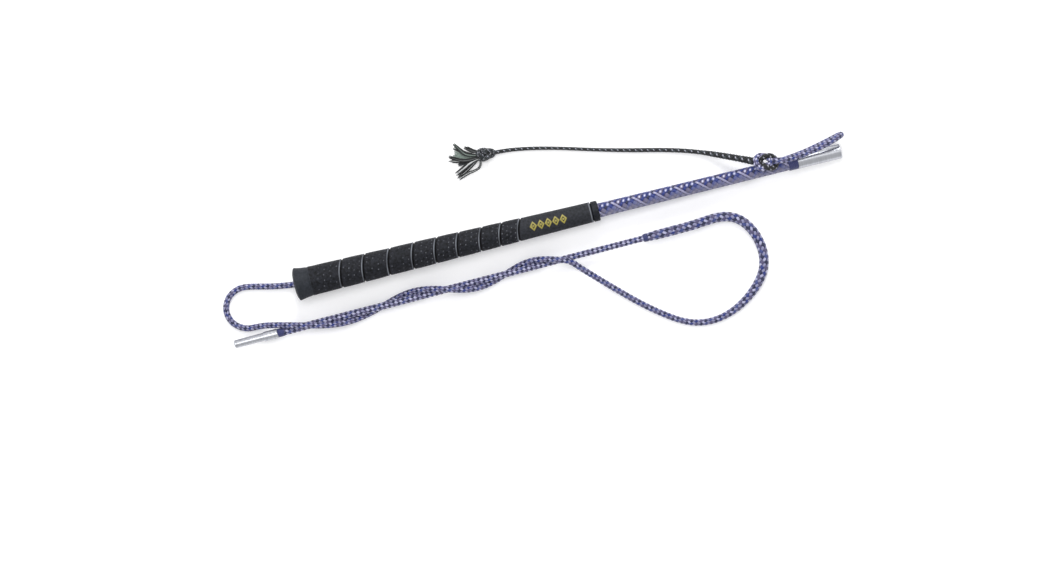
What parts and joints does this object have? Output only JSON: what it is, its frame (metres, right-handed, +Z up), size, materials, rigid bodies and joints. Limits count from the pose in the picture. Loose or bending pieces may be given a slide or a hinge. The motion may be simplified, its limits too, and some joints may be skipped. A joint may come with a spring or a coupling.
{
  "type": "lunge whip",
  "caption": "Take-apart lunge whip stored flat: ribbed rubber grip on a braid-covered stick, tip half beside it, with its braided lash wound round and a knotted, tasselled cracker.",
  "frame": {"origin": "centre of the flat end face of the handle's butt", "axes": "+X along the whip's length towards the handle's socket ferrule, +Z up, the tip half lies on the -Y side"},
  "size_m": [0.5469, 0.203, 0.0338],
  "materials": {
    "grip_rubber": "moulded rubber, matt with a dull sheen",
    "cap_rubber": "smooth moulded rubber, satin",
    "gold_paint": "gold paint",
    "mounting_tape": "crepe adhesive tape",
    "glass_fibre": "drawn glass fibre rod",
    "stick_braid": "tight nylon braid, blue with lilac white and pinkish grey strands",
    "lash_braid": "round nylon braid, blue with lilac white strands",
    "cracker_braid": "fine round braid, black with white flecks",
    "tassel_fibre": "frayed strand ends, grey green with black edges",
    "binding_thread": "waxed whipping thread, dark teal",
    "ferrule_metal": "nickel-plated tube, fine turned"
  },
  "bodies": {
    "tip_half": {"spigot_ferrule": "ferrule_metal", "tip_core": "glass_fibre", "tip_braid": "stick_braid", "root_binding": "binding_thread", "tip_binding": "binding_thread", "lash_sleeve": "lash_braid", "lash_thick": "lash_braid", "lash_taper": "lash_braid", "lash_loop": "lash_braid", "lash_wraps": "lash_braid", "lash_bight": "lash_braid", "lash_under_handle": "lash_braid", "lash_turn": "lash_braid", "lash_eye": "lash_braid", "cracker_eye": "cracker_braid", "cracker_splice": "cracker_braid", "cracker_cord": "cracker_braid", "cracker_knot": "cracker_braid", "tassel": "tassel_fibre"},
    "handle_half": {"butt_cap": "cap_rubber", "grip_sleeve": "grip_rubber", "grip_collar": "cap_rubber", "grip_ornament": "gold_paint", "grip_tape": "mounting_tape", "handle_core": "glass_fibre", "handle_braid": "stick_braid", "socket_binding": "binding_thread", "socket_ferrule": "ferrule_metal"}
  },
  "joints": [
    {"name": "handle_withdrawal", "type": "slide", "parent": "tip_half", "child": "handle_half", "axis": [-0.9999, 0, 0.0169], "range_m": [0, 0.1]}
  ]
}
